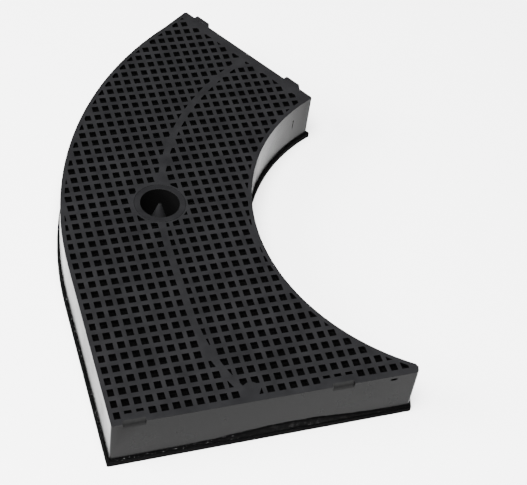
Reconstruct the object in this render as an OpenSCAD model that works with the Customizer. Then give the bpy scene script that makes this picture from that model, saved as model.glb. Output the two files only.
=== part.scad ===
// Curved carbon filter cassette for a cooker hood.
// A shallow black tray with a grille for its face wraps round the hood's blower.
// Ribs inside split it into four chambers of activated carbon, each under a fleece pad.
// A second grille closes the back, with one fleece sheet inside and a bead round its rim.
// The arcs share one centre, the blower's axis, and every outline below is drawn round it.
// The model is then moved so that its origin is the bottom centre of its bounding box.

/* [Outline] */
// Radius of the inner arc, which faces the blower
inner_r = 119.5; // [114:0.5:135]
// Radius of the outer arc
outer_r = 226; // [205:0.5:250]
// Length of the straight outer side, from the arc down to the near end
side_len = 105; // [88:0.5:112]
// Direction that the slanted end faces, in degrees from X
end_facing = 30.7; // [25:0.1:35]
// Distance of the slanted end past the blower's axis
end_offset = 7.6; // [4:0.1:12]
// Direction that the outer edge's last straight stretch faces, by the slanted end
straight_facing = 128.1; // [125:0.1:132]
// How far that stretch's line passes inside the arc
straight_dip = 0.6; // [0.3:0.1:1.5]
// Width of the flat across the sharp tip at the near end
tip_flat = 4.5; // [2:0.1:8]
// Direction that this flat faces
tip_facing = -17; // [-30:1:0]

/* [Tray] */
// Height of the whole cassette
total_h = 32; // [26:0.5:40]
// Thickness of the tray's side walls
wall_t = 2; // [1.5:0.1:3]
// Thickness of the grille face
face_t = 2; // [1.5:0.1:3]
// Thickness of the ribs between the chambers
rib_t = 2; // [1.2:0.1:3]
// Radius of the rib that runs along the middle of the arc
mid_r = 171; // [165:0.5:178]
// Height, across the tray, of the rib that crosses the middle one
cross_y = 37.1; // [34:0.1:40]
// How far below the blower's axis the middle rib starts to bend
bend_y = 45; // [30:1:60]
// Radius of the middle rib's bend
bend_r = 113; // [100:1:140]

/* [Grille] */
// Hole spacing along X
pitch_x = 6; // [5.5:0.1:8]
// Hole spacing along Y
pitch_y = 7; // [6.5:0.1:9]
// Hole width along X
hole_x = 3.7; // [3:0.1:4.5]
// Hole width along Y
hole_y = 4.3; // [3.5:0.1:5]
// Place of one column of holes
first_x = -0.3; // [-3:0.1:3]
// Place of one row of holes
first_y = -1.4; // [-3:0.1:3]
// Plain border along the two arcs and the straight side
side_border = 2.4; // [2.2:0.1:6]
// Plain border along the near end
near_border = 3.7; // [2.5:0.1:6]
// Plain border along the slanted end
end_border = 6.4; // [3:0.1:10]
// Width of the plain strip over the middle rib
strip_w = 4; // [3:0.1:5]
// Radius of the plain spot where the plastic was let into the mould
gate_r = 4.4; // [3:0.1:6]

/* [Fixing cup] */
// Distance of the cup from the blower's axis, along X
cup_x = 167.4; // [160:0.1:175]
// Distance of the cup from the blower's axis, along Y
cup_y = 35.8; // [30:0.1:42]
// Inner radius of the cup
cup_r = 11; // [9:0.1:13]
// Thickness of the cup's wall
cup_wall = 1.8; // [1.2:0.1:2.4]
// Width of the cup's flange outside its mouth
cup_flange = 3.3; // [2.4:0.1:4]
// Thickness of the cup's flange and floor
cup_t = 1.2; // [1:0.1:1.8]
// Radius of the post in the middle of the cup
post_r = 4.5; // [4:0.1:5.5]
// Length of the post's cone
post_cone_h = 12; // [6:0.5:14]
// How far the post's tip stays below the face
post_drop = 0.6; // [0.2:0.1:4]
// Radius of the socket inside the post, open at the back
socket_r = 2.5; // [2:0.1:3]
// Depth of the socket
socket_depth = 16; // [10:0.5:18]

/* [Hook tabs and notches] */
// Width of a hook tab along the slanted end
tab_w = 13.5; // [8:0.5:18]
// How far a hook tab stands out
tab_out = 4; // [2:0.1:6]
// Height of a hook tab
tab_h = 8; // [4:0.5:12]
// Depth of a hook tab's top below the face
tab_drop = 1.2; // [0.5:0.1:3]
// Distance of the first tab from the outer corner
tab_a = 7; // [4:0.5:14]
// Distance of the second tab from the outer corner
tab_b = 84.5; // [70:0.5:88]
// Width of a notch in the near end's top edge
notch_w = 11.5; // [8:0.5:16]
// Depth of a notch into the face
notch_in = 2.3; // [1.5:0.1:3]
// Height of a notch
notch_h = 3.2; // [2.5:0.1:6]
// Distance of the first notch's middle from the straight outer side
notch_a = 11.5; // [10:0.5:25]
// Distance of the second notch's middle from the straight outer side
notch_b = 119; // [90:0.5:125]

/* [Back cover and filling] */
// Spacing of the back cover's openings along X
back_pitch_x = 12; // [10:0.5:16]
// Spacing of the back cover's openings along Y
back_pitch_y = 14; // [12:0.5:18]
// Width of an opening in the back cover along X
back_hole_x = 9; // [6:0.1:9.5]
// Width of an opening in the back cover along Y
back_hole_y = 10.5; // [8:0.1:11.5]
// How far the back cover's rim stands out all round
rim_out = 1.5; // [1.2:0.1:3]
// Thickness of the back cover's rim
rim_t = 3; // [2.4:0.1:4]
// Thickness of the back cover's grille
cover_t = 2; // [1.5:0.1:2.3]
// Thickness of the ring that locates the cover inside the tray
spigot_t = 1.2; // [0.8:0.1:2]
// Height of that ring above the rim
spigot_h = 3; // [2:0.1:5]
// Width of the bead that seals the tray to the cover
bead_w = 1.1; // [0.6:0.1:1.2]
// Height of that bead
bead_h = 1.4; // [0.8:0.1:3]
// Thickness of the fleece on either side of the carbon
fleece_t = 2; // [1:0.1:3]

/* [Clearances] */
// Clearance between the cover's ring and the tray
cover_fit = 0.15; // [0.05:0.01:0.4]
// Clearance between the cup and the tray or the cover
cup_fit = 0.1; // [0.05:0.01:0.3]
// Clearance round each soft filling
soft_gap = 0.3; // [0.2:0.05:0.6]

/* [Hidden] */
$fa = 1;
$fs = 0.4;

// Levels, from the back upwards
face_z = total_h - face_t;        // underside of the grille face
pad_z = face_z - fleece_t;        // underside of the front pads
bed_z = cover_t + fleece_t;       // underside of the carbon
lock_z = rim_t + spigot_h;        // top of the cover's ring
bed_step_z = lock_z + soft_gap;   // where the carbon widens above that ring

cup = [-cup_x, cup_y];
cup_out = cup_r + cup_wall;
flange_r = cup_r + cup_flange;
cup_land = 2.5;                   // the tray's wall round the cup
boss_r = cup_out + cup_fit + cup_land;
cup_clear_r = flange_r + 1.2;     // no grille hole comes nearer to the cup
gate = [-(mid_r - 17.5), -(side_len - 7.5)];
bend_c = [-(mid_r - bend_r), -bend_y];
inside_fit = wall_t + cover_fit;  // from the outline to the cover's ring
soft_in = inside_fit + spigot_t + soft_gap;
reach = 2 * outer_r;              // longer than the cassette

notch_z = total_h - notch_h;      // where a notch's slope starts
notch_low = notch_z - wall_t;     // underside of the thicker wall behind it

function toward(angle) = [cos(angle), sin(angle)];
straight_n = toward(straight_facing);
end_n = toward(end_facing);
end_t = toward(end_facing - 90);  // along the slanted end, from the outer corner inwards
straight_at = outer_r - straight_dip;

// Where the lines a . p = p_at and b . p = q_at cross
function cross_at(a, p_at, b, q_at) =
    [p_at * b.y - q_at * a.y, a.x * q_at - b.x * p_at] / (a.x * b.y - a.y * b.x);
outer_corner = cross_at(straight_n, straight_at, end_n, end_offset);
function far_inner_corner(out) = let (r = inner_r - out, at = end_offset + out)
    at * end_n - sqrt(r * r - at * at) * end_t;

// The near end and the inner arc meet at a sharp tip, which the flat cuts off
sharp_tip = [-sqrt(inner_r * inner_r - side_len * side_len), -side_len];
tip_half = acos(side_len / inner_r) / 2;
tip_at = sharp_tip * toward(tip_facing) - tip_flat / (2 * tan(tip_half));

// The bounding box, which the back cover's rim sets
box_lo = [-(outer_r + rim_out), -(side_len + rim_out)];
box_hi = [
    far_inner_corner(rim_out).x,
    cross_at(straight_n, straight_at + rim_out, end_n, end_offset + rim_out).y
];
box_mid = (box_lo + box_hi) / 2;

// ---- plan shapes, drawn round the blower's axis ----

// All points on one side of a line: those with p . toward(facing) under at
module side_of(facing, at) {
    rotate(facing) translate([at - reach, -reach]) square([reach, 2 * reach]);
}

// The crescent; each edge moves out by its own amount
module crescent(outer, inner, near, end) {
    difference() {
        intersection() {
            union() {
                circle(outer_r + outer);
                translate([-(outer_r + outer), -reach]) square([reach, reach]);
                rotate(straight_facing) translate([0, -reach]) square([straight_at + outer, reach]);
            }
            side_of(-90, side_len + near);
            side_of(end_facing, end_offset + end);
            side_of(tip_facing, tip_at + near);
            translate([-reach, -reach]) square([reach - inner_r / 4, 2 * reach]);
        }
        circle(inner_r - inner);
    }
}

// The crescent with all its edges moved out by grow
module outline(grow) {
    crescent(grow, grow, grow, grow);
}

module ring(outer, inner) {
    difference() {
        outline(outer);
        outline(inner);
    }
}

// The inner side of the middle rib, short of its centre line by half of w
module inner_side(w) {
    intersection() {
        circle(mid_r - w / 2);
        translate([-reach, 0]) square([reach, reach]);
    }
    translate([-(mid_r - w / 2), -bend_y]) square([mid_r, bend_y]);
    intersection() {
        translate(bend_c) circle(bend_r - w / 2);
        translate([-reach, -reach]) square([reach, reach - bend_y]);
    }
    translate([bend_c.x, -reach]) square([-bend_c.x, reach - bend_y]);
}

module middle_strip(w) {
    difference() {
        inner_side(-w);
        inner_side(w);
    }
}

notches = [-(outer_r - notch_a), -(outer_r - notch_b)];

module notch_plan() {
    translate([-notch_w / 2, -1]) square([notch_w, notch_in + 1]);
}

// The thicker wall behind a notch, moved out by grow towards the chamber
module notch_back(grow = 0) {
    width = notch_w + 2 * (wall_t + grow);
    translate([-width / 2, wall_t / 2]) square([width, notch_in + wall_t / 2 + grow]);
}

// ---- grille ----

// A limit [n, at] keeps the points p with p . n under at.
// What follows gives the limits that may cut short the hole whose middle is p.

function unit(v) = v / norm(v);
function inside_circle(c, r, p) = let (n = unit(p - c)) [n, n * c + r];
function outside_circle(c, r, p) = let (n = unit(p - c)) [-n, -(n * c) - r];

// The outer edge: straight side, arc, or the straight stretch at the slanted end
function outer_limit(p) =
    p.y < 0 ? [[-1, 0], outer_r - side_border] :
    atan2(p.y, p.x) < straight_facing ? [straight_n, straight_at - side_border] :
    inside_circle([0, 0], outer_r - side_border, p);

// The side of the middle rib's plain strip that the hole is on
function strip_limit(p) =
    p.y > 0 ? beside_arc([0, 0], mid_r, p) :
    p.y < -bend_y ? beside_arc(bend_c, bend_r, p) :
    p.x < -mid_r ? [[1, 0], -mid_r - strip_w / 2] :
    [[-1, 0], mid_r - strip_w / 2];
function beside_arc(c, r, p) =
    norm(p - c) > r ? outside_circle(c, r + strip_w / 2, p) : inside_circle(c, r - strip_w / 2, p);

function limits(p) = [
    outer_limit(p),
    outside_circle([0, 0], inner_r + side_border, p),
    [[0, -1], side_len - near_border],
    [toward(tip_facing), tip_at - near_border],
    [end_n, end_offset - end_border],
    outside_circle(cup, cup_clear_r, p),
    strip_limit(p)
];

// The face's holes also keep clear of the gate and of the notches
function face_limits(p) = concat(limits(p), [
    outside_circle(gate, gate_r, p),
    [[0, -1], side_len - near_border - (by_notch(p) ? notch_in : 0)]
]);
function by_notch(p) = min([for (x = notches) abs(p.x - x)]) < (notch_w + hole_x) / 2;

// The corners of a convex shape that a limit leaves
function cut_short(shape, limit) = [
    for (i = [0 : 1 : len(shape) - 1])
        let (
            a = shape[i],
            b = shape[(i + 1) % len(shape)],
            past_a = a * limit[0] - limit[1],
            past_b = b * limit[0] - limit[1]
        )
        each concat(
            past_a <= 0 ? [a] : [],
            past_a * past_b < 0 ? [a + (b - a) * past_a / (past_a - past_b)] : []
        )
];
function cut_by(shape, all, i = 0) = i == len(all) ? shape : cut_by(cut_short(shape, all[i]), all, i + 1);

function area(shape) = len(shape) < 3 ? 0 : 0.5 * abs(sum([
    for (i = [0 : len(shape) - 1]) let (a = shape[i], b = shape[(i + 1) % len(shape)]) a.x * b.y - a.y * b.x
]));
function sum(v, i = 0) = i == len(v) ? 0 : v[i] + sum(v, i + 1);

function box_round(p, size) = [
    for (s = [[-1, -1], [1, -1], [1, 1], [-1, 1]]) p + [s.x * size.x, s.y * size.y] / 2
];
function grid(pitch) = [
    for (i = [-ceil(outer_r / pitch.x) : 0], j = [-ceil(side_len / pitch.y) : ceil(outer_r / pitch.y)])
        [first_x + i * pitch.x, first_y + j * pitch.y]
];

// Every hole that keeps at least an eighth of its area
function least(size) = size.x * size.y / 8;
function face_holes() = let (size = [hole_x, hole_y]) [
    for (p = grid([pitch_x, pitch_y]))
        let (left = cut_by(box_round(p, size), face_limits(p)))
        if (area(left) > least(size)) left
];
function back_holes() = let (size = [back_hole_x, back_hole_y]) [
    for (p = grid([back_pitch_x, back_pitch_y]))
        let (left = cut_by(box_round(p, size), limits(p)))
        if (area(left) > least(size)) left
];

// All holes of a grille as one shape of many loops
module pierced(loops) {
    starts = [for (i = 0, at = 0; i < len(loops); at = at + len(loops[i]), i = i + 1) at];
    polygon(
        [for (l = loops) each l],
        [for (i = [0 : len(loops) - 1]) [for (k = [0 : len(loops[i]) - 1]) starts[i] + k]]
    );
}

// ---- sub-parts ----

module tab(at) {
    chamfer = tab_out * 0.8;
    start = outer_corner + at * end_t - end_n;
    far = tab_out + 1;
    translate([0, 0, total_h - tab_drop - tab_h]) linear_extrude(tab_h) polygon([
        start,
        start + far * end_n,
        start + far * end_n + (tab_w - chamfer) * end_t,
        start + (far - chamfer) * end_n + tab_w * end_t,
        start + tab_w * end_t
    ]);
}

module ribs() {
    difference() {
        intersection() {
            outline(-wall_t / 2);
            union() {
                middle_strip(rib_t);
                translate([-reach, cross_y - rib_t / 2]) square([reach, rib_t]);
                translate(cup) circle(boss_r);
            }
        }
        translate(cup) circle(cup_out + cup_fit);
    }
}

// A shape between two levels
module slab(from, to) {
    translate([0, 0, from]) linear_extrude(to - from) children();
}

module at_notches() {
    for (x = notches) translate([x, -side_len]) children();
}

// A notch's sloping floor, from the wall's outer face up to the cut edge of the face
module notch_slope() {
    into = wall_t / 2;                // how far the slope's body reaches into the wall behind it
    translate([-notch_w / 2, 0, 0]) rotate([90, 0, 90]) linear_extrude(notch_w) polygon([
        [0, notch_z - into], [notch_in + into, notch_z - into],
        [notch_in + into, total_h], [notch_in, total_h], [0, notch_z]
    ]);
}

module tray() {
    ledge_z = total_h - cup_t;        // the cup's flange rests here
    color("#38383a") {
        slab(face_z, total_h) difference() {
            outline(0);
            pierced(face_holes());
            at_notches() notch_plan();
            translate(cup) circle(flange_r + cup_fit);
        }
        slab(rim_t, notch_z) ring(0, -wall_t);
        slab(notch_z, face_z) difference() {
            ring(0, -wall_t);
            at_notches() notch_plan();
        }
        slab(bed_z, lock_z + cover_fit) difference() {
            ribs();
            ring(0, -(inside_fit + spigot_t + cover_fit));
        }
        slab(lock_z + cover_fit, face_z) ribs();
        slab(bed_z, ledge_z) translate(cup) difference() {
            circle(flange_r + cup_fit);
            circle(cup_out + cup_fit);
        }
        slab(notch_low, notch_z) at_notches() notch_back();
        slab(notch_z, face_z) difference() {
            at_notches() notch_back();
            at_notches() notch_plan();
        }
        at_notches() notch_slope();
        for (at = [tab_a, tab_b]) tab(at);
    }
}

module fixing_cup() {
    tip_z = total_h - post_drop;
    cone_z = tip_z - post_cone_h;
    color("#2c2c2e") translate(cup) difference() {
        union() {
            difference() {
                cylinder(h = total_h, r = cup_out);
                translate([0, 0, cup_t]) cylinder(h = total_h, r = cup_r);
            }
            translate([0, 0, total_h - cup_t]) difference() {
                cylinder(h = cup_t, r = flange_r);
                translate([0, 0, -1]) cylinder(h = cup_t + 2, r = cup_r);
            }
            cylinder(h = cone_z, r = post_r);
            translate([0, 0, cone_z]) cylinder(h = post_cone_h, r1 = post_r, r2 = post_r / 6);
        }
        translate([0, 0, -1]) cylinder(h = socket_depth + 1, r = socket_r);
    }
}

module back_cover() {
    color("#1c1c1e") {
        slab(0, cover_t) difference() {
            outline(rim_out);
            pierced(back_holes());
            translate(cup) circle(cup_out + cup_fit);
        }
        slab(0, rim_t) ring(rim_out, -(inside_fit + spigot_t));
        slab(cover_t / 2, lock_z) ring(-inside_fit, -(inside_fit + spigot_t));
    }
}

module sealing_bead() {
    color("#0c0c0d") slab(rim_t, rim_t + bead_h) ring(bead_w, 0);
}

module back_fleece() {
    color("#262626") slab(cover_t, bed_z) difference() {
        outline(-soft_in);
        translate(cup) circle(cup_out + soft_gap);
    }
}

// One chamber's plan: outer or inner side of the middle rib, far or near side of the cross rib
module chamber(outer, far, inset) {
    gap = rib_t + 2 * soft_gap;
    edge = gap / 2;
    difference() {
        intersection() {
            outline(-inset);
            if (far) side_of(-90, -(cross_y + edge));
            else side_of(90, cross_y - edge);
            if (outer) difference() {
                square(2 * reach, center = true);
                inner_side(-gap);
            }
            else inner_side(gap);
        }
        translate(cup) circle(boss_r + soft_gap);
    }
}

// What is left of a chamber's filling beside the thicker walls behind the notches
module clear_of_notches() {
    difference() {
        children();
        slab(notch_low - soft_gap, total_h) at_notches() notch_back(soft_gap);
    }
}

module pad(outer, far) {
    color("#202020") clear_of_notches() slab(pad_z, face_z) chamber(outer, far, wall_t + soft_gap);
}

module carbon(outer, far) {
    color("#141414") clear_of_notches() {
        slab(bed_z, bed_step_z) chamber(outer, far, soft_in);
        slab(bed_step_z, pad_z) chamber(outer, far, wall_t + soft_gap);
    }
}

module placed() {
    translate([-box_mid.x, -box_mid.y, 0]) children();
}

placed() tray();
placed() fixing_cup();
placed() back_cover();
placed() sealing_bead();
placed() back_fleece();
placed() pad(true, true);  // pad_outer_far
placed() pad(true, false);  // pad_outer_near
placed() pad(false, true);  // pad_inner_far
placed() pad(false, false);  // pad_inner_near
placed() carbon(true, true);  // carbon_outer_far
placed() carbon(true, false);  // carbon_outer_near
placed() carbon(false, true);  // carbon_inner_far
placed() carbon(false, false);  // carbon_inner_near
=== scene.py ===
"""The looks of a carbon filter cassette from a cooker hood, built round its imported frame.

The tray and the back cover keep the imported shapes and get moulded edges.
The cup is turned from its section, the sealant is laid as an uneven bead, and the fleece and the carbon get
the surface of matted fibre and of heaped granules.
"""

import math

import bmesh
import bpy
from mathutils import Euler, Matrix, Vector, noise


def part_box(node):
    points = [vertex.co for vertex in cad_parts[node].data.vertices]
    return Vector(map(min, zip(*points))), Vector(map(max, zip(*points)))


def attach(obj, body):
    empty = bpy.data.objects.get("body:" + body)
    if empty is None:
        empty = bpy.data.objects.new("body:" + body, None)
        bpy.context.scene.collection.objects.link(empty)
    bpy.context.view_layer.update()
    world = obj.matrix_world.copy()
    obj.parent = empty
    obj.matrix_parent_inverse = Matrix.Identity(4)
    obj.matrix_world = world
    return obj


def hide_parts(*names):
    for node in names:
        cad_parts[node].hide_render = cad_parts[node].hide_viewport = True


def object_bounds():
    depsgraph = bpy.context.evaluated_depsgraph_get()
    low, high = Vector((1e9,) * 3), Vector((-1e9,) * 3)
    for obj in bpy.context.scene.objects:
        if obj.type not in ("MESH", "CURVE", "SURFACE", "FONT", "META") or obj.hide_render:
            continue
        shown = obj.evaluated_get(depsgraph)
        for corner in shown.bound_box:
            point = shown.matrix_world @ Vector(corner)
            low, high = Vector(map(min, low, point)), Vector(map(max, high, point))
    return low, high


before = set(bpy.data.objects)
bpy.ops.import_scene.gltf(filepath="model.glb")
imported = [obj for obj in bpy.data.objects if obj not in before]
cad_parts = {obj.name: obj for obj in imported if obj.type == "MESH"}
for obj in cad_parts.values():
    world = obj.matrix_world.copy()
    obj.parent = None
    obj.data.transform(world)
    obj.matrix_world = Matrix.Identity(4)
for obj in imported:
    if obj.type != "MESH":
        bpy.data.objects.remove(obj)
cad_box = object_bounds()

MM = 0.001
UP = Vector((0, 0, 1))


# ---- shader tools ----


def linear(code):
    """The linear colour of an sRGB hex value."""
    parts = [int(code[i:i + 2], 16) / 255 for i in (1, 3, 5)]
    return [p / 12.92 if p <= 0.04045 else ((p + 0.055) / 1.055) ** 2.4 for p in parts] + [1.0]


def add(tree, kind, links=None, inputs=None, **settings):
    """Adds a shader node with its settings, input values and links, and returns it."""
    node = tree.nodes.new("ShaderNode" + kind)
    for name, value in settings.items():
        setattr(node, name, value)
    for socket, value in (inputs or {}).items():
        node.inputs[socket].default_value = value
    for socket, source in (links or {}).items():
        tree.links.new(source, node.inputs[socket])
    return node


def finish(name, **surface):
    """A new material, and its Principled shader with the surface's uniform values on its own sockets."""
    material = bpy.data.materials.new(name)
    material.use_nodes = True
    shader = material.node_tree.nodes["Principled BSDF"]
    for socket, value in surface.items():
        shader.inputs[socket.replace("_", " ")].default_value = value
    return material, material.node_tree, shader


def place_in_mm(tree):
    """The object's own coordinates, counted in millimetres, so that each scale below is 1 / millimetres."""
    where = add(tree, "TexCoord")
    scaled = add(tree, "VectorMath", {0: where.outputs["Object"]}, operation="SCALE")
    scaled.inputs["Scale"].default_value = 1 / MM
    return scaled.outputs[0]


def grain(tree, place, size, detail=2.0, roughness=0.5):
    """Noise whose lumps are about size millimetres across."""
    settings = {"Scale": 1 / size, "Detail": detail, "Roughness": roughness}
    return add(tree, "TexNoise", {"Vector": place}, settings).outputs["Fac"]


def between(tree, value, low, high, low_out, high_out):
    """Maps value from low..high to low_out..high_out, and holds it at both ends."""
    made = add(
        tree, "MapRange", {"Value": value},
        {"From Min": low, "From Max": high, "To Min": low_out, "To Max": high_out},
    )
    return made.outputs["Result"]


def blend_colours(tree, share, first, second):
    """Mixes two colours, each an sRGB hex value or a socket."""
    mix = add(tree, "Mix", {"Factor": share}, data_type="RGBA")
    for socket, colour in ((6, first), (7, second)):
        if isinstance(colour, str):
            mix.inputs[socket].default_value = linear(colour)
        else:
            tree.links.new(colour, mix.inputs[socket])
    return mix.outputs[2]


def sum_of(tree, *values):
    total = values[0]
    for value in values[1:]:
        total = add(tree, "Math", {0: total, 1: value}, operation="ADD").outputs[0]
    return total


def product_of(tree, first, second):
    return add(tree, "Math", {0: first, 1: second}, operation="MULTIPLY").outputs[0]


def stretched(tree, place, shares):
    """Places scaled by a share per axis: a share below 1 draws the pattern out along that axis."""
    return add(tree, "VectorMath", {0: place}, {1: shares}, operation="MULTIPLY").outputs[0]


def axis_of(tree, vector, axis):
    return add(tree, "SeparateXYZ", {0: vector}).outputs[axis]


def spot(tree, place, centre, size):
    """1 within an ellipsoid of a centre and size in millimetres, fading to 0 at its edge."""
    away = add(tree, "VectorMath", {0: place}, {1: centre}, operation="SUBTRACT").outputs[0]
    scaled = add(tree, "VectorMath", {0: away}, {1: size}, operation="DIVIDE").outputs[0]
    length = add(tree, "VectorMath", {0: scaled}, operation="LENGTH").outputs["Value"]
    return between(tree, length, 0.38, 0.5, 1.0, 0.0)


def raise_surface(tree, shader, height, depth, strength=1.0):
    """Bump whose full height is depth millimetres."""
    bump = add(tree, "Bump", {"Height": height}, {"Distance": depth * MM, "Strength": strength})
    tree.links.new(bump.outputs["Normal"], shader.inputs["Normal"])


# ---- finishes ----


def moulded_polypropylene(name, body, cloud, worn, painted_light_on_sides, matte, satin, nick_painted_shade=(), painted_light_slopes=(), **surface):
    """Carbon-black polypropylene with a finely pitted face, which scatters light and reads as a dull dark
    grey. Its walls are smoother: they mirror a bright floor at a low angle and are slightly cloudy. Faces
    that don't face up take a painted colour, painted shade on walls, hole sides and wells, or a painted
    highlight.
    Nicks are painted shade: dead black, mirroring nothing. Sloping faces in slopes are painted paler, painted
    light that lifts their shade."""
    material, tree, shader = finish(name, IOR=1.49, **surface)
    place = place_in_mm(tree)
    facing = axis_of(tree, add(tree, "NewGeometry").outputs["Normal"], "Z")
    flat = between(tree, facing, 0.7, 0.95, 0.0, 1.0)
    # Pits as fine as a real moulded face's, about 0.1 mm apart, wouldn't show, so they are 0.5 mm apart
    pits = grain(tree, place, 0.5)
    mottle = grain(tree, place, 9.0, detail=4.0)
    flow = grain(tree, place, 26.0, detail=3.0, roughness=0.6)
    # Scuffs: thin pale streaks, about 2 mm wide and 2 cm long
    streaks = grain(tree, stretched(tree, place, (1.0, 0.12, 1.0)), 2.2, detail=5.0, roughness=0.7)
    colour = blend_colours(tree, between(tree, mottle, 0.3, 0.7, 0.0, 1.0), body, cloud)
    colour = blend_colours(tree, between(tree, streaks, 0.62, 0.78, 0.0, 0.2), colour, worn)
    # Painted light: faces that don't face up take their own colour, painted shade on walls, hole sides and
    # wells, or on the post a painted highlight
    colour = blend_colours(tree, flat, painted_light_on_sides, colour)
    up_to_flat = between(tree, facing, 0.3, 0.5, 0.0, 1.0)
    sloping = add(tree, "Math", {0: up_to_flat, 1: flat}, operation="SUBTRACT").outputs[0]
    # Painted light: sloping faces round each given centre are painted paler, to lift the shade in a recess
    for centre, size in painted_light_slopes:
        here = product_of(tree, spot(tree, place, centre, size), sloping)
        colour = blend_colours(tree, here, colour, "#191919")
    # Painted shade: each nick is a dead black mark with its reflection turned off, not a dent in the shape
    nick_shade_masks = [spot(tree, place, centre, size) for centre, size in nick_painted_shade]
    for here in nick_shade_masks:
        colour = blend_colours(tree, here, colour, "#010101")
    if nick_shade_masks:
        mirroring = between(tree, sum_of(tree, *nick_shade_masks), 0.0, 1.0, surface["Specular_IOR_Level"], 0.0)
        tree.links.new(mirroring, shader.inputs["Specular IOR Level"])
    tree.links.new(colour, shader.inputs["Base Color"])
    wall_gloss = between(tree, flow, 0.3, 0.7, satin - 0.05, satin + 0.08)
    face_gloss = between(tree, mottle, 0.3, 0.7, matte - 0.04, matte + 0.05)
    gloss = add(tree, "Mix", {0: flat, 2: wall_gloss, 3: face_gloss}).outputs[0]
    tree.links.new(gloss, shader.inputs["Roughness"])
    raise_surface(tree, shader, product_of(tree, pits, between(tree, flat, 0.0, 1.0, 0.15, 1.0)), 0.04)
    return material


def hot_melt_sealant():
    """Hot-melt glue dulled by carbon dust, laid molten and left uneven. It reads as almost pure black, and a
    few small sharp highlights are painted on it in pale grey."""
    material, tree, shader = finish("hot_melt_sealant", IOR=1.5, Specular_IOR_Level=0.02)
    place = place_in_mm(tree)
    lumps = grain(tree, place, 2.5, detail=3.0)
    dust = blend_colours(tree, lumps, "#000000", "#020202")
    highlight_spots = between(tree, grain(tree, place, 0.7, detail=1.0), 0.7, 0.74, 0.0, 1.0)
    # Nearly all the painted highlights are on the outer side
    highlight_side = between(tree, axis_of(tree, place, "X"), -32.0, -20.0, 1.0, 0.08)
    painted_highlights = product_of(tree, highlight_spots, highlight_side)
    # Painted highlights: a pale grey base colour where the highlights fall
    tree.links.new(blend_colours(tree, painted_highlights, dust, "#5a5a5a"), shader.inputs["Base Color"])
    tree.links.new(between(tree, grain(tree, place, 3.0), 0.58, 0.7, 0.75, 0.14), shader.inputs["Roughness"])
    raise_surface(tree, shader, lumps, 0.5)
    return material


def needled_fleece():
    """Needle-punched polyester fleece, dyed black. Crossed fibres trap the light, so it's the darkest surface
    that shows, with a faint dusty sheen."""
    material, tree, shader = finish(
        "needled_fleece", IOR=1.45, Sheen_Weight=0.004, Sheen_Roughness=0.6, Specular_IOR_Level=0.0
    )
    place = place_in_mm(tree)
    # Fibres are 0.03 mm thick; bundles of them show, about 0.25 mm across and 3 mm long
    along = stretched(tree, place, (0.08, 1.0, 1.0))
    across = stretched(tree, place, (1.0, 0.08, 1.0))
    fibres = sum_of(tree, grain(tree, along, 0.25, detail=3.0), grain(tree, across, 0.25, detail=3.0))
    colour = blend_colours(tree, between(tree, fibres, 0.8, 1.25, 0.0, 1.0), "#000000", "#030303")
    tree.links.new(colour, shader.inputs["Base Color"])
    tree.links.new(between(tree, fibres, 0.8, 1.2, 0.85, 1.0), shader.inputs["Roughness"])
    raise_surface(tree, shader, fibres, 0.3)
    return material


def activated_carbon():
    """Granules of activated carbon, about 2 mm across: dull grey-black with a dusty bloom and a few bright
    broken faces."""
    material, tree, shader = finish("activated_carbon", IOR=1.6)
    place = place_in_mm(tree)
    cells = add(tree, "TexVoronoi", {"Vector": place}, {"Scale": 1 / 2.0})
    tone = add(tree, "SeparateColor", {"Color": cells.outputs["Color"]}).outputs["Red"]
    tree.links.new(blend_colours(tree, tone, "#0b0b0b", "#232324"), shader.inputs["Base Color"])
    tree.links.new(between(tree, tone, 0.0, 1.0, 0.55, 0.95), shader.inputs["Roughness"])
    raise_surface(tree, shader, cells.outputs["Distance"], 0.6)
    return material


def matt_paper_sweep():
    """White background paper: matt, with a barely uneven tone."""
    material, tree, shader = finish("matt_paper_sweep", Roughness=0.9, Specular_IOR_Level=0.1)
    tone = grain(tree, place_in_mm(tree), 180.0)
    tree.links.new(blend_colours(tree, tone, "#fafafa", "#ffffff"), shader.inputs["Base Color"])
    return material


# ---- shape tools ----


def new_piece(name, mesh, material, slot, *nodes):
    """A piece of the cassette that stands for CAD nodes and takes a finish. Its slot is not used."""
    mesh.materials.clear()
    mesh.materials.append(material)
    piece = bpy.data.objects.new(name, mesh)
    bpy.context.scene.collection.objects.link(piece)
    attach(piece, "root")
    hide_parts(*nodes)
    return piece


def node_shape(node):
    """A CAD node's surface with its seams closed."""
    shape = bmesh.new()
    shape.from_mesh(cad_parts[node].data)
    bmesh.ops.remove_doubles(shape, verts=shape.verts, dist=0.002 * MM)
    return shape


def round_corners(shape, low, high, radius):
    """Rounds the upright outer corners that run from height low to height high."""
    corners = []
    for edge in shape.edges:
        a, b = sorted((v.co for v in edge.verts), key=lambda place: place.z)
        upright = (a.xy - b.xy).length < 0.01 * MM
        whole = abs(a.z - low) < 0.1 * MM and abs(b.z - high) < 0.1 * MM
        if upright and whole and edge.is_convex and edge.calc_face_angle() > math.radians(35):
            corners.append(edge)
    bmesh.ops.bevel(
        shape, geom=corners, offset=radius * MM, offset_type="OFFSET", segments=5, profile=0.5, affect="EDGES"
    )


def to_mesh(shape, name, smooth_under=35):
    mesh = bpy.data.meshes.new(name)
    shape.to_mesh(mesh)
    shape.free()
    mesh.shade_smooth()
    mesh.set_sharp_from_angle(angle=math.radians(smooth_under))
    return mesh


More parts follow.
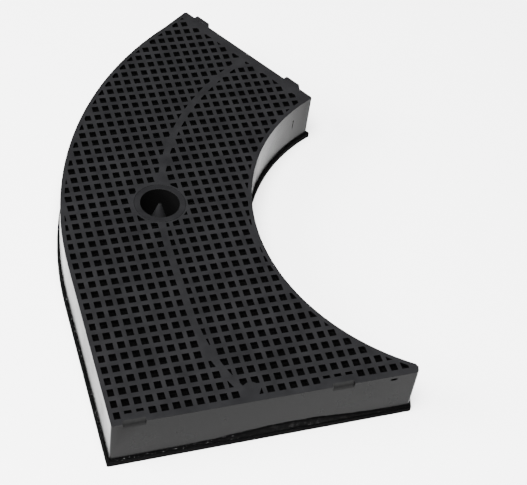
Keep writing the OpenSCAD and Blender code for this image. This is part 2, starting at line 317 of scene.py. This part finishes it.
def with_modifiers(mesh, *modifiers):
    """The mesh after some modifiers, each a type and its settings."""
    holder = bpy.data.objects.new("holder", mesh)
    bpy.context.scene.collection.objects.link(holder)
    for kind, settings in modifiers:
        modifier = holder.modifiers.new(kind, kind)
        for name, value in settings.items():
            setattr(modifier, name, value)
    ready = holder.evaluated_get(bpy.context.evaluated_depsgraph_get())
    made = bpy.data.meshes.new_from_object(ready)
    bpy.data.objects.remove(holder)
    return made


def kept_within(mesh, box):
    """Moves back to a box the few points that rounding an edge threw past it."""
    for vertex in mesh.vertices:
        vertex.co = [min(max(value, low), high) for value, low, high in zip(vertex.co, *box)]
    return mesh


def moulded(node, name, edge, corner, corner_height):
    """A CAD node's shape, its sharp edges rounded to edge millimetres and its upright outer corners, which
    run up corner_height millimetres from its foot, to corner millimetres."""
    shape = node_shape(node)
    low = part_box(node)[0].z
    round_corners(shape, low, low + corner_height * MM, corner)
    bevel = {
        "width": edge * MM, "segments": 2, "limit_method": "ANGLE", "angle_limit": math.radians(40),
        "use_clamp_overlap": False, "harden_normals": False,
    }
    mesh = kept_within(with_modifiers(to_mesh(shape, name), ("BEVEL", bevel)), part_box(node))
    return with_modifiers(mesh, ("WEIGHTED_NORMAL", {"keep_sharp": False, "weight": 80}))


def loops_at(node, z):
    """The closed outlines of a CAD node's flat face at height z, as flat points, the widest first."""
    shape = node_shape(node)
    level = {f for f in shape.faces if all(abs(v.co.z - z) < 0.001 * MM for v in f.verts)}
    border = [e for e in shape.edges if sum(f in level for f in e.link_faces) == 1]
    near = {}
    for edge in border:
        for a, b in (edge.verts, reversed(edge.verts)):
            near.setdefault(a, []).append(b)
    loops = []
    while near:
        start = next(iter(near))
        loop, here = [start], near.pop(start)[0]
        came = start
        while here is not start:
            loop.append(here)
            there = near.pop(here)
            came, here = here, there[0] if there[0] is not came else there[1]
        loops.append([v.co.xy.copy() for v in loop])
    loops.sort(key=lambda points: -abs(enclosed(points)))
    loops = [points if enclosed(points) > 0 else points[::-1] for points in loops]
    shape.free()
    return loops


def enclosed(points):
    return sum(a.cross(b) for a, b in zip(points, points[1:] + points[:1])) / 2


def spaced(points, step):
    """Points at even steps along a closed outline, each with its outward direction."""
    closed = points + points[:1]
    lengths = [(b - a).length for a, b in zip(closed, closed[1:])]
    count = round(sum(lengths) / step)
    step = sum(lengths) / count
    places, travelled, i = [], 0.0, 0
    for k in range(count):
        while travelled + lengths[i] < k * step:
            travelled += lengths[i]
            i += 1
        places.append(closed[i].lerp(closed[i + 1], (k * step - travelled) / lengths[i]))
    stations = []
    for k, place in enumerate(places):
        along = places[(k + 1) % count] - places[k - 1]
        stations.append((place, Vector((along.y, -along.x)).normalized()))
    return stations


def swept(name, rings):
    """A closed surface through rings of as many points each, the last joined to the first."""
    shape = bmesh.new()
    made = [[shape.verts.new(p) for p in ring] for ring in rings]
    for ring, following in zip(made, made[1:] + made[:1]):
        for k in range(len(ring)):
            a, b = ring[k], ring[(k + 1) % len(ring)]
            c, d = following[(k + 1) % len(ring)], following[k]
            shape.faces.new((a, b, c, d))
    bmesh.ops.recalc_face_normals(shape, faces=shape.faces)
    return to_mesh(shape, name, smooth_under=60)


# ---- the camera, the floor and the lights ----


def camera_on(place_mm, turn_degrees, lens):
    camera = bpy.data.objects.new("camera", bpy.data.cameras.new("camera"))
    camera.data.lens = lens
    camera.data.clip_start = 0.05
    camera.location = Vector(place_mm) * MM
    camera.rotation_euler = Euler([math.radians(a) for a in turn_degrees])
    bpy.context.scene.collection.objects.link(camera)
    bpy.context.scene.camera = camera


def paper_sweep(half=4.0):
    shape = bmesh.new()
    corners = [shape.verts.new((x * half, y * half, 0)) for x, y in ((-1, -1), (1, -1), (1, 1), (-1, 1))]
    shape.faces.new(corners)
    bmesh.ops.subdivide_edges(shape, edges=shape.edges, cuts=7, use_grid_fill=True)
    mesh = to_mesh(shape, "paper_sweep")
    mesh.materials.append(matt_paper_sweep())
    floor = bpy.data.objects.new("paper_sweep", mesh)
    floor.location.z = cad_box[0][2]
    bpy.context.scene.collection.objects.link(floor)


def softbox(name, place, aim, size, power):
    light = bpy.data.lights.new(name, "AREA")
    light.shape = "DISK"
    light.size = size
    light.energy = power
    lamp = bpy.data.objects.new(name, light)
    lamp.location = place
    lamp.rotation_euler = (Vector(aim) - Vector(place)).to_track_quat("-Z", "Y").to_euler()
    bpy.context.scene.collection.objects.link(lamp)


def studio_walls(overhead, level):
    """Light from all round: bright at floor level and dimmer overhead."""
    world = bpy.data.worlds.new("studio_walls")
    world.use_nodes = True
    bpy.context.scene.world = world
    tree = world.node_tree
    height = add(tree, "SeparateXYZ", {0: add(tree, "TexCoord").outputs["Generated"]}).outputs["Z"]
    share = between(tree, height, 0.05, 0.6, 0.0, 1.0)
    colour = blend_colours(tree, share, level, overhead)
    tree.links.new(colour, tree.nodes["Background"].inputs["Color"])
    tree.nodes["Background"].inputs["Strength"].default_value = 1.0


camera_on((-183.6, -515.8, 566.8), (43.084, -6.539, -16.824), 92.35)
paper_sweep()
studio_walls(overhead="#7c7c7c", level="#ffffff")
softbox("top_softbox", (-0.4, -0.5, 2.1), (0, 0, 0), 1.4, 300)
softbox("side_softbox", (-1.8, 0.3, 1.2), (0, 0, 0), 1.2, 90)


# ---- tray and back cover ----

tray_low, tray_high = (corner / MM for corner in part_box("tray"))
# The sloping floors of the two notches, by how far along the near wall they are, painted paler: painted light
# lifting the shade in the notches
notch_painted_light = [((along, tray_low.y + 1.2, tray_high.z - 1.6), (26.0, 9.0, 9.0)) for along in (-74.6, 32.9)]
# The inner wall's mark is a fine upright line with a dot at its head, a turn round the blower's axis from +X
blower_axis = Vector((139.9, -48.0, 0))
inner_wall_r = 121.0
mark_turn = math.radians(124.2)
mark = blower_axis + inner_wall_r * Vector((math.cos(mark_turn), math.sin(mark_turn), 0))
# The nick and the inner wall's mark are painted shade: dead black and mirroring nothing, not cut in
wall_nick_painted_shade = [
    ((60.2, tray_low.y, tray_high.z - 2.7), (4.6, 4.0, 2.0)),
    ((mark.x, mark.y, 21.9), (1.6, 8.0, 1.6)),
    ((mark.x, mark.y, 18.7), (0.7, 8.0, 8.4)),
]
# On the tray and the cover, the colour for faces that don't face up is painted shade on walls and hole sides
face_plastic = moulded_polypropylene(
    "moulded_polypropylene_tray", body="#0e0e0f", cloud="#131314", worn="#222223", painted_light_on_sides="#060606",
    matte=0.5, satin=0.22, nick_painted_shade=wall_nick_painted_shade, painted_light_slopes=notch_painted_light, Specular_IOR_Level=0.035,
)
cover_plastic = moulded_polypropylene(
    "moulded_polypropylene_cover", body="#030303", cloud="#050505", worn="#0d0d0d", painted_light_on_sides="#010101",
    matte=0.6, satin=0.8, Specular_IOR_Level=0.02,
)
# In the cup, the colour for faces that don't face up is painted shade in its well
cup_plastic = moulded_polypropylene(
    "moulded_polypropylene_cup", body="#0a0a0b", cloud="#0f0f10", worn="#1c1c1d", painted_light_on_sides="#060606",
    matte=0.45, satin=0.5, Specular_IOR_Level=0.06,
)
# The post's sides are duller than the cup's wall and painted paler, a painted highlight; its upward tip is
# painted darker, painted shade
post_plastic = moulded_polypropylene(
    "moulded_polypropylene_post", body="#030303", cloud="#040404", worn="#060606", painted_light_on_sides="#131314",
    matte=0.7, satin=0.7, Specular_IOR_Level=0.06,
)
tray_mesh = moulded("tray", "tray_moulding", edge=0.12, corner=1.1, corner_height=29)
new_piece("tray_moulding", tray_mesh, face_plastic, "tray_plastic", "tray")
cover_mesh = moulded("back_cover", "cover_moulding", edge=0.25, corner=0.8, corner_height=3)
new_piece("cover_moulding", cover_mesh, cover_plastic, "cover_plastic", "back_cover")


# ---- fixing cup ----


def rounded(corners):
    """A closed section with each corner (x, z, radius) turned into an arc."""
    points = []
    for i, (x, z, radius) in enumerate(corners):
        here = Vector((x, z))
        before = Vector(corners[i - 1][:2]) - here
        after = Vector(corners[(i + 1) % len(corners)][:2]) - here
        if radius == 0:
            points.append(here)
            continue
        half = before.angle(after) / 2
        back = min(radius / math.tan(half), 0.49 * before.length, 0.49 * after.length)
        start, end = here + before.normalized() * back, here + after.normalized() * back
        for k in range(6):
            t = k / 5
            points.append(start.lerp(here, t).lerp(here.lerp(end, t), t))
    return points


def turned(name, section, centre, steps=96):
    """A section of (radius, height) points in millimetres turned round an upright axis."""
    rings = []
    for k in range(steps):
        angle = math.tau * k / steps
        out = Vector((math.cos(angle), math.sin(angle), 0))
        rings.append([centre + (out * p.x + UP * p.y) * MM for p in section])
    return swept(name, rings)


cup_low, cup_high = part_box("fixing_cup")
flange_r = (cup_high.x - cup_low.x) / 2 / MM
cup_height = cup_high.z / MM
body_r = flange_r - 1.5
flange_z = cup_height - 1.2
mouth_r, floor_z = 11.0, 1.2
post_r, post_overlap = 4.5, 0.05      # the shell's floor runs this far under the post's foot
shoulder_z, tip_z = cup_height - 12.6, cup_height - 0.6
tip_r, axis_gap = 0.75, 0.05          # the section stops just short of the axis
socket_r, socket_z = 2.5, 16.0
cup_section = rounded([
    (post_r - post_overlap, 0.0, 0.0), (body_r, 0.0, 0.4), (body_r, flange_z, 0.0),
    (flange_r, flange_z, 0.1), (flange_r, cup_height, 0.12), (mouth_r, cup_height, 0.2),
    (mouth_r, floor_z, 1.2), (post_r - post_overlap, floor_z, 0.0),
])
post_section = rounded([
    (socket_r, 0.0, 0.2), (post_r, 0.0, 0.0), (post_r, 0.9, 0.0), (5.3, 1.25, 0.3), (post_r, 2.4, 1.0),
    (post_r, shoulder_z, 0.8), (tip_r, tip_z, 0.7),
    (axis_gap, tip_z, 0.0), (axis_gap, socket_z, 0.0), (socket_r, socket_z, 0.3),
])
cup_axis = Vector(((cup_low.x + cup_high.x) / 2, (cup_low.y + cup_high.y) / 2, 0))
shell_mesh = turned("fixing_cup_shell", cup_section, cup_axis)
new_piece("fixing_cup_shell", shell_mesh, cup_plastic, "cup_plastic", "fixing_cup")
post_mesh = turned("fixing_cup_post", post_section, cup_axis)
new_piece("fixing_cup_post", post_mesh, post_plastic, "cup_plastic", "fixing_cup")


# ---- sealant ----


# Shares of the bead's width and height, from behind the wall round its bulge
bead_section = ((-0.15, 0), (1, 0), (1, 0.3), (0.85, 0.6), (0.6, 0.84), (0.3, 0.97), (-0.15, 1))


def laid_bead():
    """Glue pressed out between the tray and the cover's rim, highest about half-way along the near wall."""
    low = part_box("sealing_bead")[0]
    wall = loops_at("sealing_bead", low.z)[1]
    near_y = low.y + 3 * MM
    swell, swell_x, swell_half = 5.0, 8, 40      # the swelling's height, its middle and its half width
    rings = []
    for place, out in spaced(wall, 1.1 * MM):
        wander = noise.noise(Vector((place.x, place.y, 0)) / (9 * MM))
        lumps = noise.noise(Vector((place.x, place.y, 0.05)) / (2.6 * MM))
        high_by = 0.6 + 0.35 * wander + 0.2 * lumps
        if place.y < near_y:
            along = (place.x / MM - swell_x) / swell_half
            high_by += swell * math.exp(-along * along) + 0.3 * wander
        high_by = max(high_by, 0.25)
        out_by = 0.95 + 0.25 * wander + 0.2 * lumps
        ring = []
        for x, z in bead_section:
            aside = x * out_by if x > 0 else x
            flat = place + out * aside * MM
            ring.append(Vector((flat.x, flat.y, low.z + z * high_by * MM)))
        rings.append(ring)
    return swept("laid_bead", rings)


new_piece("sealant_bead", laid_bead(), hot_melt_sealant(), "sealant", "sealing_bead")


# ---- fleece and carbon ----


def roughened(node, name, voxel, lump, depth):
    """A CAD node's shape as a fine skin, pressed in by up to depth millimetres, in lumps that are lump
    millimetres across."""
    mesh = to_mesh(node_shape(node), name)
    mesh = with_modifiers(mesh, ("REMESH", {"mode": "VOXEL", "voxel_size": voxel * MM}))
    pressed = []
    for place, out in [(v.co.copy(), v.normal.copy()) for v in mesh.vertices]:
        pressed.extend(place - out * (0.5 + 0.5 * noise.noise(place / (lump * MM))) * depth * MM)
    mesh.vertices.foreach_set("co", pressed)
    mesh.update()
    mesh.shade_smooth()
    return mesh


fleece = needled_fleece()
for node in ("back_fleece", "pad_outer_far", "pad_outer_near", "pad_inner_far", "pad_inner_near"):
    name = node + "_felt"
    mat = roughened(node, name, voxel=1.1, lump=1.6, depth=0.3)
    piece = new_piece(name, mat, fleece, "fleece", node)

carbon = activated_carbon()
for node in ("carbon_outer_far", "carbon_outer_near", "carbon_inner_far", "carbon_inner_near"):
    name = node + "_granules"
    new_piece(name, roughened(node, name, voxel=1.8, lump=2.0, depth=0.9), carbon, "carbon", node)
